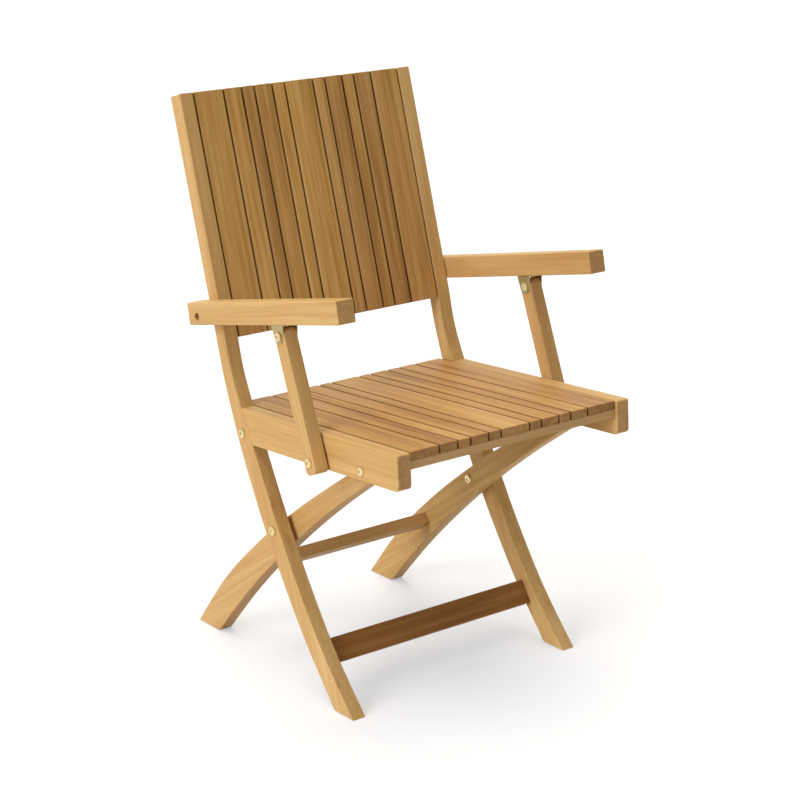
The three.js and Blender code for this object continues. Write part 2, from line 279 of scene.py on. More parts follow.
BACK = SideFrame(STILE_SHOULDER, (Vector(STILE_TOP) - Vector(STILE_SHOULDER)).normalized())
BACK_LENGTH = (Vector(STILE_TOP) - Vector(STILE_SHOULDER)).length


class Signal:
    """A shader socket that arithmetic can be written with."""

    def __init__(self, graph: "Graph", socket: bpy.types.NodeSocket) -> None:
        """Wraps one output socket of a graph."""
        self.graph = graph
        self.socket = socket

    def _math(self, operation: str, other: "Signal | float") -> "Signal":
        """Adds a Math node that joins this signal to another or to a number."""
        return self.graph.output("ShaderNodeMath", {"operation": operation}, {0: self, 1: other})

    def __add__(self, other: "Signal | float") -> "Signal":
        """Adds a signal or a number."""
        return self._math("ADD", other)

    def __sub__(self, other: "Signal | float") -> "Signal":
        """Takes a signal or a number away."""
        return self._math("SUBTRACT", other)

    def __mul__(self, other: "Signal | float") -> "Signal":
        """Multiplies by a signal or a number."""
        return self._math("MULTIPLY", other)

    def __rsub__(self, other: float) -> "Signal":
        """Takes this signal away from a number."""
        return (self * -1.0) + other

    __radd__ = __add__
    __rmul__ = __mul__

    def stretched(self, scale: Triple) -> "Signal":
        """Scales a vector signal along each of its axes."""
        return self.graph.output("ShaderNodeVectorMath", {"operation": "MULTIPLY"}, {0: self, 1: scale})

    def noise(self, detail: float, roughness: float = 0.5, distortion: float = 0.0) -> "Signal":
        """Noise at the place that this vector signal gives."""
        pattern = {"Scale": 1.0, "Detail": detail, "Roughness": roughness, "Distortion": distortion}
        return self.graph.output("ShaderNodeTexNoise", {}, {"Vector": self, **pattern}, "Fac")

    def between(self, low: float, high: float, to_low: float = 0.0, to_high: float = 1.0) -> "Signal":
        """Maps the range low to high onto another, without going past its ends."""
        inputs = {"Value": self, "From Min": low, "From Max": high, "To Min": to_low, "To Max": to_high}
        return self.graph.output("ShaderNodeMapRange", {"clamp": True}, inputs)


class Graph:
    """The node tree of one material or of the world."""

    def __init__(self, owner: Material | bpy.types.World) -> None:
        """Starts an empty tree.

        Args:
            owner: the material or world that the tree belongs to.
        """
        self.owner = owner
        owner.use_nodes = True
        self.tree = owner.node_tree
        self.tree.nodes.clear()

    def node(self, kind: str, settings: dict, inputs: dict) -> bpy.types.Node:
        """Adds a node.

        Args:
            kind: the node's type.
            settings: its properties and their values, or a ramp's stops.
            inputs: values or signals for its input sockets.

        Returns:
            The new node.
        """
        node = self.tree.nodes.new(kind)
        for key, value in settings.items():
            if key == "stops":
                self._set_stops(node, value)
            else:
                setattr(node, key, value)
        for key, value in inputs.items():
            if isinstance(value, Signal):
                self.tree.links.new(value.socket, node.inputs[key])
            else:
                node.inputs[key].default_value = value
        return node

    def _set_stops(self, node: bpy.types.Node, stops: Stops) -> None:
        """Gives a ramp its stops.

        Args:
            node: the ramp's node.
            stops: the place and the colour of each stop.
        """
        elements = node.color_ramp.elements
        while len(elements) < len(stops):
            elements.new(1.0)
        for element, (place, colour) in zip(elements, stops):
            element.position = place
            element.color = (*colour, 1.0)

    def output(self, kind: str, settings: dict, inputs: dict, name: int | str = 0) -> Signal:
        """Adds a node and returns one of its outputs."""
        return Signal(self, self.node(kind, settings, inputs).outputs[name])

    def backdrop_rays(self) -> Signal:
        """One for rays that show the background, straight or in a gloss, and else zero.

        Returns:
            That signal.
        """
        path = self.node("ShaderNodeLightPath", {}, {})
        rays = ("Is Camera Ray", "Is Glossy Ray", "Is Transmission Ray")
        camera, glossy, through = (Signal(self, path.outputs[ray]) for ray in rays)
        return (camera + glossy + through).between(0.0, 1.0)

    def attribute(self, name: str, output: str) -> Signal:
        """A value that each piece's mesh carries."""
        return self.output("ShaderNodeAttribute", {"attribute_name": name}, {}, output)

    def ramp(self, factor: Signal, stops: Stops) -> Signal:
        """A colour that follows a factor through given stops."""
        return self.output("ShaderNodeValToRGB", {"stops": stops}, {"Fac": factor}, "Color")

    def bump(self, height: Signal, strength: float, distance: float) -> Signal:
        """A normal that follows a height."""
        inputs = {"Height": height, "Strength": strength, "Distance": distance}
        return self.output("ShaderNodeBump", {}, inputs)

    def surface(self, inputs: dict) -> Material:
        """Ends the tree in a principled surface.

        Args:
            inputs: the values or signals of the surface's sockets.

        Returns:
            The finished material.
        """
        shader = self.output("ShaderNodeBsdfPrincipled", {}, inputs)
        self.node("ShaderNodeOutputMaterial", {}, {"Surface": shader})
        return self.owner


@dataclass(frozen=True)
class Teak:
    """Oiled teak with streaks, fine pores and a tone that each board sets.

    A pattern's scale counts its marks in a metre: along the grain, then twice across it.
    """

    name: str
    dark: Triple
    middle: Triple
    light: Triple
    roughness: float = 0.5
    gloss: float = 0.3
    cloud_scale: Triple = (2.2, 16.0, 16.0)
    band_scale: Triple = (2.6, 95.0, 95.0)
    streak_scale: Triple = (9.0, 420.0, 420.0)
    pore_scale: Triple = (70.0, 1900.0, 1900.0)
    pattern_shares: Triple = (0.34, 0.42, 0.24)
    colour_places: Triple = (0.35, 0.5, 0.64)
    pore_range: Pair = (0.62, 0.74)
    pore_darkness: float = 0.16
    tone_range: Pair = (0.8, 1.1)
    hue_range: Pair = (0.491, 0.503)
    streak_range: Pair = (0.3, 0.7)
    roughness_spread: Pair = (-0.08, 0.1)
    streak_height: float = 0.5
    bump_strength: float = 0.22
    bump_height: float = 0.35 * MM

    def material(self) -> Material:
        """Builds the material.

        Returns:
            The finished material.
        """
        graph = Graph(bpy.data.materials.new(self.name))
        grain = graph.attribute("grain", "Vector")
        tone = graph.attribute("tone", "Fac")
        cloud = grain.stretched(self.cloud_scale).noise(detail=2.0, distortion=0.4)
        band = grain.stretched(self.band_scale).noise(detail=3.0, roughness=0.55, distortion=0.6)
        streak = grain.stretched(self.streak_scale).noise(detail=3.0, roughness=0.6, distortion=0.3)
        pore = grain.stretched(self.pore_scale).noise(detail=1.0).between(*self.pore_range)
        cloud_share, band_share, streak_share = self.pattern_shares
        mix = cloud * cloud_share + band * band_share + streak * streak_share
        stops = list(zip(self.colour_places, (self.dark, self.middle, self.light)))
        tinted = graph.output("ShaderNodeHueSaturation", {}, {
            "Hue": tone.between(*self.tone_range, *self.hue_range),
            "Saturation": 1.0,
            "Value": tone - pore * self.pore_darkness,
            "Color": graph.ramp(mix, stops),
        })
        smoother, rougher = (self.roughness + change for change in self.roughness_spread)
        return graph.surface({
            "Base Color": tinted,
            "Roughness": streak.between(*self.streak_range, smoother, rougher),
            "Specular IOR Level": self.gloss,
            "Normal": graph.bump(streak * self.streak_height - pore, self.bump_strength, self.bump_height),
        })


@dataclass(frozen=True)
class Metal:
    """A metal with faint rubbed marks, which its scales count in a metre."""

    name: str
    colour: Triple
    roughness: float
    cloud_scale: Triple = (160.0, 160.0, 160.0)
    scratch_scale: Triple = (2600.0, 500.0, 500.0)
    dull_share: float = 0.8
    colour_places: Pair = (0.35, 0.6)
    cloud_range: Pair = (0.3, 0.7)
    roughness_spread: Pair = (-0.06, 0.14)
    bump_strength: float = 0.08
    bump_height: float = 0.1 * MM

    def material(self) -> Material:
        """Builds the material.

        Returns:
            The finished material.
        """
        graph = Graph(bpy.data.materials.new(self.name))
        place = graph.output("ShaderNodeTexCoord", {}, {}, "Object")
        cloud = place.stretched(self.cloud_scale).noise(detail=3.0)
        scratch = place.stretched(self.scratch_scale).noise(detail=2.0)
        dull = tuple(channel * self.dull_share for channel in self.colour)
        smoother, rougher = (self.roughness + change for change in self.roughness_spread)
        return graph.surface({
            "Base Color": graph.ramp(cloud, list(zip(self.colour_places, (dull, self.colour)))),
            "Metallic": 1.0,
            "Roughness": cloud.between(*self.cloud_range, smoother, rougher),
            "Normal": graph.bump(scratch, self.bump_strength, self.bump_height),
        })


def new_object(name: str, bm: BMesh, materials: list[Material]) -> bpy.types.Object:
    """Turns a bmesh into an object with outward faces.

    Args:
        name: the object's name.
        bm: its faces; freed here.
        materials: its material slots.

    Returns:
        The new object.
    """
    bmesh.ops.recalc_face_normals(bm, faces=bm.faces)
    mesh = bpy.data.meshes.new(name)
    bm.to_mesh(mesh)
    bm.free()
    obj = bpy.data.objects.new(name, mesh)
    bpy.context.scene.collection.objects.link(obj)
    for material in materials:
        mesh.materials.append(material)
    mesh.shade_smooth()
    mesh.set_sharp_from_angle(angle=SHARP_ANGLE)
    return obj


def extrude_across(bm: BMesh, outline: list[Point], start: float, end: float) -> None:
    """Adds a solid that runs across the chair.

    Args:
        bm: the bmesh that it is added to.
        outline: its side view.
        start: the X of its first face.
        end: the X of its other face.
    """
    cap = bm.faces.new([bm.verts.new((start, y, z)) for y, z in outline])
    lifted = bmesh.ops.extrude_face_region(bm, geom=[cap])["geom"]
    moved = [item for item in lifted if isinstance(item, bmesh.types.BMVert)]
    bmesh.ops.translate(bm, verts=moved, vec=(end - start, 0, 0))


def width_of(node: str) -> Pair:
    """The lowest and the highest X of a node."""
    low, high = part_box(node)
    return low[0], high[0]


def put_in_place(obj: bpy.types.Object, node: str, body: str) -> str:
    """Lets a piece stand for a node.

    Args:
        obj: the piece.
        node: the node that it replaces.
        body: the body that it rides on.

    Returns:
        The piece's name.
    """
    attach(obj, body)
    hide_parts(node)
    return obj.name


@dataclass(frozen=True)
class Recess:
    """A round recess in the outer face of a board."""

    place: Point
    radius: float
    depth: float
    side: Side
    steps: int = 48

    def sink(self, obj: bpy.types.Object, node: str) -> None:
        """Cuts the recess.

        Args:
            obj: the board that it is cut into.
            node: the board's node.
        """
        low, high = width_of(node)
        face = high if self.side is Side.RIGHT else low
        turned = Matrix.Translation((face, *self.place)) @ Matrix.Rotation(math.pi / 2, 4, "Y")
        bm = bmesh.new()
        bmesh.ops.create_cone(
            bm, cap_ends=True, segments=self.steps, radius1=self.radius, radius2=self.radius,
            depth=self.depth * 2, matrix=turned,
        )
        cutter = new_object(f"{node}_drill", bm, [])
        modifier = obj.modifiers.new("recess", "BOOLEAN")
        modifier.operation = "DIFFERENCE"
        modifier.solver = "EXACT"
        modifier.object = cutter
        with bpy.context.temp_override(object=obj):
            bpy.ops.object.modifier_apply(modifier="recess")
        bpy.data.objects.remove(cutter)
        obj.data.set_sharp_from_angle(angle=SHARP_ANGLE)


@dataclass
class Board:
    """A wooden board: a side-view outline between two places across the chair."""

    node: str
    outline: list[Point]
    grain: SideFrame
    tone: float = 1.0
    rounding: float = EDGE_ROUND
    crosswise: bool = False
    recess: Recess | None = None
    # How dark the painted shade is on the sides that face the gaps between slats
    wall_tone: float = 1.0

    def prism(self) -> BMesh:
        """Extrudes the outline across the node's own width and rounds its long edges.

        Returns:
            The board's faces.
        """
        bm = bmesh.new()
        extrude_across(bm, self.outline, *width_of(self.node))
        most = self.rounding / 2
        rims = [edge for edge in bm.edges if abs(edge.verts[0].co.x - edge.verts[1].co.x) < most]
        bmesh.ops.bevel(
            bm, geom=rims, offset=self.rounding, offset_type="OFFSET", affect="EDGES",
            segments=EDGE_SEGMENTS, profile=0.5, material=-1, clamp_overlap=False,
        )
        return bm

    def log_place(self) -> float:
        """How far along its log the board is cut, in metres."""
        letters = sum(ord(letter) * (place + LETTER_WEIGHT) for place, letter in enumerate(self.node))
        return letters % LOG_PLACES / LOG_PLACES_PER_METRE

    def paint(self, mesh: bpy.types.Mesh) -> None:
        """Gives the mesh its grain, which runs along the board, and its tone, with painted shade on the
        sides that face the gaps between slats.

        Args:
            mesh: the board's mesh.
        """
        mesh.attributes.new("grain", "FLOAT_VECTOR", "POINT")
        mesh.attributes.new("tone", "FLOAT", "FACE")
        grain, tone = mesh.attributes["grain"], mesh.attributes["tone"]
        start = self.log_place()
        for vertex in mesh.vertices:
            s, h = self.grain.local((vertex.co.y, vertex.co.z))
            x = vertex.co.x
            run = (x, h, s) if self.crosswise else (s, h, x)
            grain.data[vertex.index].vector = (run[0] + start, run[1] + start / LOG_SLANT, run[2])
        along = Vector((1, 0, 0)) if self.crosswise else Vector((0, *self.grain.along))
        for face in mesh.polygons:
            end = END_TONE if abs(face.normal.dot(along)) > FLATNESS else 1.0
            # Painted shade: sides square to X, which face the gaps between slats, are darkened
            gap_shade = self.wall_tone if abs(face.normal.x) > FLATNESS else 1.0
            tone.data[face.index].value = self.tone * min(end, gap_shade)

    def build(self, body: str, slot: str, material: Material) -> str:
        """Makes the board.

        Args:
            body: the body that it rides on.
            slot: the record's material slot; not used.
            material: its wood.

        Returns:
            The piece's name.
        """
        obj = new_object(f"{self.node}_board", self.prism(), [material])
        if self.recess:
            self.recess.sink(obj, self.node)
        self.paint(obj.data)
        modifier = obj.modifiers.new("flat faces", "WEIGHTED_NORMAL")
        modifier.keep_sharp = True
        return put_in_place(obj, self.node, body)


@dataclass
class Stiles:
    """The two bent uprights."""

    front_shares: tuple[Point, ...] = (
        (0.263, 0.6), (0.227, 0.522), (0.138, 0.411), (0.046, 0.301), (-0.054, 0.194), (-0.165, 0.093),
        (-0.293, 0),
    )
    rear_shares: tuple[Point, ...] = (
        (-0.212, 0), (-0.092, 0.094), (0.015, 0.192), (0.113, 0.295), (0.198, 0.402), (0.269, 0.514),
        (0.306, 0.592),
    )
    rear_top_share: Point = (0.494, 0.991)
    tones: Pair = (0.95, 0.98)

    def front_curve(self) -> list[Point]:
        """The front edge, from above the bend down to the toe."""
        return smooth([side_point(share) for share in self.front_shares])

    def outline(self) -> list[Point]:
        """The whole side view.

        Returns:
            Its outline.
        """
        rear = smooth([side_point(share) for share in self.rear_shares])
        front = self.front_curve()
        corner = fillet(front[-1], rear[0], rear[FOOT_STEPS], FOOT_ROUND)
        return [STILE_TOP, *front, *corner, *rear[FOOT_STEPS:], side_point(self.rear_top_share)]

    def front_at(self, z: float) -> float:
        """Finds the front face at a height.

        Args:
            z: the height.

        Returns:
            The Y of the front face.
        """
        curve = self.front_curve()
        below = next(index for index, point in enumerate(curve) if point[1] < z)
        low, high = curve[below], curve[below - 1]
        return low[0] + (high[0] - low[0]) * (z - low[1]) / (high[1] - low[1])

    def build(self, wood: Material) -> list[str]:
        """Makes both uprights.

        Args:
            wood: their material.

        Returns:
            The pieces' names.
        """
        outline = self.outline()
        return [
            Board(f"stile_{side.word}", outline, BACK, tone).build("frame", "teak_frame", wood)
            for side, tone in zip(Side, self.tones)
        ]


@dataclass
class Back:
    """The slats of the back and the two rails behind them."""

    bottom: float = 64 * MM
    thickness: float = 14 * MM
    rail_height: float = 50 * MM
    rail_inset: float = 12 * MM
    rail_gap: float = 0.4 * MM
    rail_thickness: float = 13 * MM
    rail_tone: float = 0.95
    tones: tuple[float, ...] = (0.99, 1.04, 0.9, 0.97, 1.06, 1.05, 0.92, 0.88, 0.98, 0.85, 0.94)

    def rail_starts(self) -> dict[str, float]:
        """Where each rail starts along the back, by its node."""
        return {
            "back_rail_top": BACK_LENGTH - self.rail_inset - self.rail_height,
            "back_rail_bottom": self.bottom + self.rail_inset,
        }

    def build(self, wood: Material, slat_wood: Material) -> list[str]:
        """Makes the slats and rails.

        Args:
            wood: the rails' material.
            slat_wood: the slats' material.

        Returns:
            The pieces' names.
        """
        names = []
        front, rear = self.thickness + self.rail_gap, self.thickness + self.rail_thickness
        for node, start in self.rail_starts().items():
            outline = BACK.bar(start, start + self.rail_height, front, rear)
            board = Board(node, outline, BACK, self.rail_tone, SLAT_ROUND, crosswise=True)
            names.append(board.build("frame", "teak_frame", wood))
        outline = BACK.bar(self.bottom, BACK_LENGTH, 0, self.thickness, SLAT_ROUND)
        for number, tone in enumerate(self.tones, start=1):
            # The slats' sides get painted shade where they face the gaps between them
            board = Board(f"back_slat_{number:02d}", outline, BACK, tone, SLAT_ROUND, wall_tone=GAP_SHADE_TONE)
            names.append(board.build("frame", "teak_slats", slat_wood))
        return names


@dataclass
class Stretcher:
    """A board between two legs that leans back with them, by an angle in degrees."""

    node: str
    body: str
    middle_share: Point
    lean: float
    height: float
    thickness: float
    tone: float

    def build(self, wood: Material) -> list[str]:
        """Makes the stretcher.

        Args:
            wood: its material.

        Returns:
            The piece's name, in a list.
        """
        angle = math.radians(self.lean)
        local = SideFrame(side_point(self.middle_share), Vector((math.sin(angle), math.cos(angle))))
        half, deep = self.height / 2, self.thickness / 2
        board = Board(self.node, local.bar(-half, half, -deep, deep), local, self.tone, crosswise=True)
        return [board.build(self.body, "teak_frame", wood)]


@dataclass
class Seat:
    """Seat rails, battens and slats."""

    stiles: Stiles
    below: float = 15 * MM
    above: float = 41 * MM
    front_reach: float = 91 * MM
    end_round: float = 10 * MM
    butt_gap: float = 0.4 * MM
    butt_steps: int = 8
    butt_tries: int = 14
    slat_thickness: float = 14 * MM
    setback: float = 4 * MM
    slat_length: float = 434 * MM
    batten_width: float = 40 * MM
    batten_thickness: float = 13 * MM
    front_batten_inset: float = 1 * MM
    middle_batten_reach: float = 188 * MM
    rear_batten_inset: float = 16 * MM
    rail_tones: Pair = (0.98, 0.96)
    batten_tone: float = 0.82
    tones: tuple[float, ...] = (0.88, 0.84, 0.93, 0.86, 0.81, 0.91, 0.84, 0.9, 0.82, 0.89, 0.85)

    @property
    def end(self) -> float:
        """How far the rails reach forward of the fold pivot."""
        return LINK_LENGTH + LEG_TOP_REACH + self.front_reach

    @property
    def slat_front(self) -> float:
        """How far the slats reach forward of the fold pivot."""
        return self.end - self.setback

    @property
    def slat_rear(self) -> float:
        """Where the slats end at the rear."""
        return self.slat_front - self.slat_length

    @property
    def slat_under(self) -> float:
        """The slats' underside."""
        return self.above - self.slat_thickness

    @property
    def batten_under(self) -> float:
        """The battens' underside."""
        return self.slat_under - self.batten_thickness

    def batten_starts(self) -> dict[str, float]:
        """Where each batten starts along the seat, by its node."""
        return {
            "seat_batten_front": self.slat_front - self.front_batten_inset - self.batten_width,
            "seat_batten_middle": self.middle_batten_reach,
            "seat_batten_rear": self.slat_rear + self.rear_batten_inset,
        }

    def meets_stile(self, h: float) -> Point:
        """Follows a line of the seat to the stiles, closer with each try.

        Args:
            h: the line's height in the seat's frame.

        Returns:
            The point where it meets them.
        """
        s = 0.0
        for _ in range(self.butt_tries):
            y, z = SEAT.at(s, h)
            s += y - (self.stiles.front_at(z) - self.butt_gap)
        return SEAT.at(s, h)

    def rail_outline(self) -> list[Point]:
        """The side view of a rail, cut at the rear along the stile's face.

        Returns:
            Its outline.
        """
        step_down = (self.above + self.below) / self.butt_steps
        back = [self.meets_stile(self.above - step_down * step) for step in range(self.butt_steps + 1)]
        low, high = SEAT.at(self.end, -self.below), SEAT.at(self.end, self.above)
        return [
            *back,
            *fillet(back[-1], low, high, self.end_round),
            *fillet(low, high, back[0], self.end_round / 2),
        ]

    def build(self, wood: Material, slat_wood: Material) -> list[str]:
        """Makes the rails, battens and slats.

        Args:
            wood: the material of the rails and battens.
            slat_wood: the slats' material.

        Returns:
            The pieces' names.
        """
        names = []
        for side, tone in zip(Side, self.rail_tones):
            board = Board(f"seat_rail_{side.word}", self.rail_outline(), SEAT, tone)
            names.append(board.build("seat", "teak_frame", wood))
        for node, start in self.batten_starts().items():
            outline = SEAT.bar(start, start + self.batten_width, self.batten_under, self.slat_under - GAP)
            board = Board(node, outline, SEAT, self.batten_tone, SLAT_ROUND, crosswise=True)
            names.append(board.build("seat", "teak_frame", wood))
        outline = SEAT.bar(self.slat_rear, self.slat_front, self.slat_under, self.above, SLAT_ROUND)
        for number, tone in enumerate(self.tones, start=1):
            # The slats' sides get painted shade where they face the gaps between them
            board = Board(f"seat_slat_{number:02d}", outline, SEAT, tone, SLAT_ROUND, wall_tone=GAP_SHADE_TONE)
            names.append(board.build("seat", "teak_slats", slat_wood))
        return names


@dataclass
class RearLegs:
    """The curved legs that cross the stiles."""

    upper_shares: tuple[Point, ...] = (
        (HEEL_SHARE, 0), (0.374, 0.112), (0.216, 0.211), (0.044, 0.302), (-0.135, 0.386),
    )
    lower_shares: tuple[Point, ...] = (
        (-0.18, 0.363), (-0.021, 0.28), (0.13, 0.192), (0.274, 0.099), (0.41, 0),
    )
    end_radius: float = 14 * MM
    tones: Pair = (0.92, 1.02)

    def outline(self) -> list[Point]:
        """The side view of a leg.

        Returns:
            Its outline.
        """
        upper = [side_point(share) for share in self.upper_shares]
        lower = [side_point(share) for share in self.lower_shares]
        middle = (Vector(lower[0]) + Vector(upper[-1])) / 2
        end = round_end(LEG_TOP, self.end_radius, Vector(LEG_TOP) - middle)[::-1]
        low_curve = smooth([end[-1], *lower])[:-FOOT_STEPS]
        foot = fillet(low_curve[-1], lower[-1], upper[0], FOOT_ROUND)
        return [*smooth([*upper, end[0]]), *end[1:-1], *low_curve, *foot]

    def build(self, wood: Material) -> list[str]:
        """Makes both legs.

        Args:
            wood: their material.

        Returns:
            The pieces' names.
        """
        grain = SideFrame(LEG_TOP, (Vector(LEG_PIVOT) - Vector(LEG_TOP)).normalized())
        outline = self.outline()
        return [
            Board(f"rear_leg_{side.word}", outline, grain, tone).build("rear_legs", "teak_frame", wood)
            for side, tone in zip(Side, self.tones)
        ]


@dataclass
class Arms:
    """The armrests, their struts and the brass clevises between them."""

    length: float = 408 * MM
    height: float = 36 * MM
    behind: float = 25 * MM
    below: float = 13.5 * MM
    end_round: float = 3 * MM
    foot_reach: float = 19 * MM
    head_reach: float = 13 * MM
    foot_round: float = 8 * MM
    head_round: float = 12.5 * MM
    strut_depth: float = 26 * MM
    recess_radius: float = 6.5 * MM
    recess_depth: float = 8 * MM
    plate: float = 1.4 * MM
    clevis_length: float = 30 * MM
    ear_reach: float = 11 * MM
    tones: Pair = (0.96, 0.87)

    def clevis(self, side: Side, brass: Material) -> str:
        """Makes one bent plate from its two ears and its web.

        Args:
            side: the side of the chair.
            brass: its material.

        Returns:
            The piece's name.
        """
        node = f"arm_bracket_{side.word}"
        low, high = width_of(node)
        local = SideFrame(STRUT_HEAD, ARM.along)
        under = local.local(ARM.at(0, -self.below))[1] - GAP
        half = self.clevis_length / 2
        ear = [
            local.at(half, under),
            local.at(-half, under),
            *round_end(STRUT_HEAD, self.ear_reach, -local.across),
        ]
        web = local.bar(-half, half, under - self.plate, under)
        bm = bmesh.new()
        extrude_across(bm, ear, low, low + self.plate)
        extrude_across(bm, ear, high - self.plate, high)
        extrude_across(bm, web, low + self.plate, high - self.plate)
        obj = new_object(f"{node}_plates", bm, [brass])
        return put_in_place(obj, node, f"arm_{side.word}_body")

    def strut(self) -> tuple[SideFrame, list[Point]]:
        """Draws a strut, squarer at its foot than at its head.

        Returns:
            The strut's frame and its outline.
        """
        axis = Vector(STRUT_HEAD) - Vector(STRUT_FOOT)
        local = SideFrame(STRUT_FOOT, axis.normalized())
        half = self.strut_depth / 2
        corners = local.bar(-self.foot_reach, axis.length + self.head_reach, -half, half)
        return local, rounded(corners, [self.foot_round, self.head_round, self.head_round, self.foot_round])

    def build(self, wood: Material, brass: Material) -> list[str]:
        """Makes both arms, both struts and both clevises.

        Args:
            wood: the material of the arms and struts.
            brass: the clevises' material.

        Returns:
            The pieces' names.
        """
        names = []
        front, top = self.length - self.behind, self.height - self.below
        arm = ARM.bar(-self.behind, front, -self.below, top, self.end_round)
        grain, strut = self.strut()
        for side, tone in zip(Side, self.tones):
            recess = Recess(ARM_PIVOT, self.recess_radius, self.recess_depth, side)
            armrest = Board(f"arm_{side.word}", arm, ARM, tone, recess=recess)
            names.append(armrest.build(f"arm_{side.word}_body", "teak_frame", wood))
            support = Board(f"strut_{side.word}", strut, grain, tone)
            names.append(support.build(f"strut_{side.word}_body", "teak_frame", wood))
            names.append(self.clevis(side, brass))
        return names


@dataclass(frozen=True)
class Turned:
    """A turned brass bolt, drawn as radii against X on the right side of the chair.

    Points within merge are joined, and those nearly at the socket's radius are its rim.
    """

    node: str
    body: str
    pivot: Point
    profile: tuple[Pair, ...]
    steps: int = 48
    merge: float = 0.001 * MM
    nearly: float = 0.01 * MM

    def build(self, side: Side, brass: Material) -> str:
        """Turns the bolt for one side.

        Args:
            side: the side of the chair.
            brass: its material.

        Returns:
            The piece's name.
        """
        bm = bmesh.new()
        verts = [bm.verts.new((x * side.value, 0, radius)) for x, radius in self.profile]
        edges = [bm.edges.new(pair) for pair in zip(verts, verts[1:])]
        bmesh.ops.spin(
            bm, geom=[*verts, *edges], axis=(1, 0, 0), cent=(0, 0, 0), angle=2 * math.pi,
            steps=self.steps, use_merge=True,
        )
        bmesh.ops.remove_doubles(bm, verts=bm.verts, dist=self.merge)
        for vert in bm.verts:
            self._shape_socket(vert)
        bmesh.ops.translate(bm, verts=bm.verts, vec=(0, *self.pivot))
        node = f"{self.node}_{side.word}"
        obj = new_object(f"{node}_turned", bm, [brass])
        return put_in_place(obj, node, self.body.format(side=side.word))

    def _shape_socket(self, vert: bmesh.types.BMVert) -> None:
        """Moves a point of the socket's rim from a circle to a hexagon.

        Args:
            vert: any point of the bolt; one off the rim stays.
        """
        radius = math.hypot(vert.co.y, vert.co.z)
        if abs(radius - SOCKET_RADIUS) > self.nearly:
            return
        sector = math.pi / 3
        angle = math.atan2(vert.co.z, vert.co.y) % sector - sector / 2
        scale = math.cos(sector / 2) / math.cos(angle)
        vert.co.y *= scale
        vert.co.z *= scale


@dataclass
class Bolts:
    """All the chair's bolts, with their washers and nuts."""

    pin: float = 4 * MM
    head: float = 7.5 * MM
    head_height: float = 3.6 * MM
    rim: float = 1.2 * MM
    dome_steps: int = 12
    brim_share: float = 1.15
    socket_lip: float = 0.15 * MM
    socket_depth: float = 1.6 * MM
    washer: float = 7.5 * MM
    softening: float = 0.3 * MM
    nut: float = 7 * MM
    nut_height: float = 2.4 * MM
    collar_gap: float = 1 * MM
    sunk_head: float = 6 * MM
    sunk_height: float = 3 * MM

    def dome(self, face: float) -> list[Pair]:
        """Draws a domed head, with a socket at its top.

        Args:
            face: the X that the head stands on.

        Returns:
            X and radius along its outline.
        """
        points = [(face, self.pin), (face, self.head)]
        for step in range(self.dome_steps + 1):
            angle = math.pi / 2 * step / self.dome_steps
            radius = self.head * math.cos(angle)
            if radius > SOCKET_RADIUS * self.brim_share:
                points.append((face + self.rim + (self.head_height - self.rim) * math.sin(angle), radius))
        top = points[-1][0] + self.socket_lip
        floor = top - self.socket_depth
        return [*points, (top, SOCKET_RADIUS), (floor, SOCKET_RADIUS), (floor, 0.0)]

    def disc(self, start: float, end: float, radius: float) -> list[Pair]:
        """Draws a washer or nut on the shank.

        Args:
            start: the X of its first face.
            end: the X of its other face.
            radius: its radius.

        Returns:
            X and radius along its outline.
        """
        soft = self.softening
        return [
            (start, self.pin), (start, radius - soft), (start + soft, radius),
            (end - soft, radius), (end, radius - soft), (end, self.pin),
        ]

    def closed_disc(self, start: float, end: float, radius: float) -> list[Pair]:
        """Draws a washer or nut whose first face is closed."""
        return [(start, 0.0), *self.disc(start, end, radius)[1:]]

    def build(self, brass: Material) -> list[str]:
        """Makes every bolt on both sides.

        Args:
            brass: their material.

        Returns:
            The pieces' names.
        """
        stile_in, stile_out = width_of("stile_right")
        leg_in, leg_out = width_of("rear_leg_right")
        link_in, _ = width_of("fold_link_right")
        strut_in, strut_out = width_of("strut_right")
        _, recess_tip = width_of("arm_bolt_right")
        _, clevis_out = width_of("arm_bracket_right")
        clevis_in, _ = width_of("clevis_bolt_right")
        on_stile = self.dome(stile_out + GAP)
        nut_face = link_in - GAP
        nut = self.closed_disc(nut_face - self.nut_height, nut_face, self.nut)
        inner_dome = [(leg_in - GAP - x, radius) for x, radius in reversed(self.dome(0.0))]
        middle = self.disc(leg_out + GAP, stile_in - GAP, self.washer)
        foot = self.disc(stile_out + GAP, strut_in - GAP, self.washer)
        collar = self.closed_disc(leg_out + self.collar_gap, stile_in - GAP, self.washer)
        flush_tip = clevis_in + GAP
        flush = [(clevis_in, 0.0), (clevis_in, self.nut), (flush_tip, self.nut), (flush_tip, self.pin)]
        sunk = [
            (min(x, recess_tip), min(radius, self.sunk_head))
            for x, radius in self.dome(recess_tip - self.sunk_height)
        ]
        shank = [(stile_in + GAP, 0.0), (stile_in + GAP, self.pin)]
        bolts = (
            Turned("fold_bolt", "frame", FOLD_PIVOT, (*nut, *on_stile)),
            Turned("leg_bolt", "frame", LEG_PIVOT, (*inner_dome, *middle, *on_stile)),
            Turned("arm_bolt", "frame", ARM_PIVOT, (*shank, *sunk)),
            Turned("strut_bolt", "seat", STRUT_FOOT, (*nut, *foot, *self.dome(strut_out + GAP))),
            Turned("seat_bolt", "seat", LEG_TOP, (*collar, *on_stile)),
            Turned("clevis_bolt", "arm_{side}_body", STRUT_HEAD, (*flush, *self.dome(clevis_out + GAP))),
        )
        return [bolt.build(side, brass) for bolt in bolts for side in Side]


